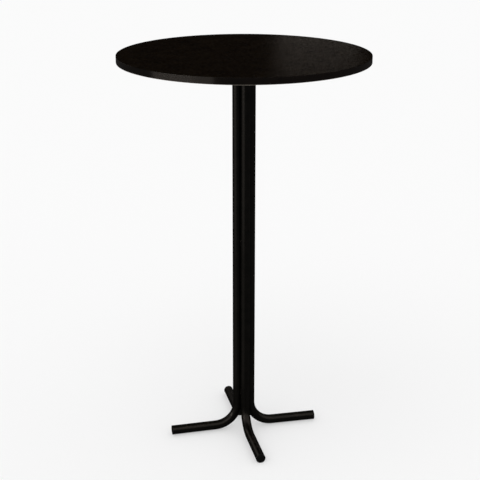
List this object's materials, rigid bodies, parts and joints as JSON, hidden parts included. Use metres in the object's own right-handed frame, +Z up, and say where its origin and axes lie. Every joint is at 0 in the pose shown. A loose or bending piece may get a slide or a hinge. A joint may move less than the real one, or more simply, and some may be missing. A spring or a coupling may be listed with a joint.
{
  "type": "pub table",
  "caption": "High round pub table: a thin dark laminate top on a slim column of bundled black steel tubes that bend outward at the floor into short legs with plastic end plugs.",
  "frame": {"origin": "on the floor, under the centre of the top", "axes": "+Z up; the front leg points along -Y, the right leg along +X, the back leg along +Y and the left leg along -X"},
  "size_m": [0.65, 0.65, 1.067],
  "materials": {
    "laminate": "near-black brown laminate, fine matt texture",
    "backing": "plain dark balancing laminate, matt",
    "edge_strip": "near-black brown edge strip, satin",
    "board": "raw chipboard",
    "black_steel": "satin black powder coat",
    "plug_plastic": "moulded black plastic, satin",
    "screw_steel": "zinc plated"
  },
  "bodies": {
    "root": {"top_laminate": "laminate", "backing_laminate": "backing", "edge_band": "edge_strip", "top_core": "board", "cross_bar": "black_steel", "cross_arm_front": "black_steel", "cross_arm_back": "black_steel", "tube_front": "black_steel", "tube_right": "black_steel", "tube_back": "black_steel", "tube_left": "black_steel", "tube_top_welds": "black_steel", "cross_corner_welds": "black_steel", "column_stitch_welds": "black_steel", "end_plug_front": "plug_plastic", "end_plug_right": "plug_plastic", "end_plug_back": "plug_plastic", "end_plug_left": "plug_plastic", "top_screws": "screw_steel"}
  },
  "joints": []
}
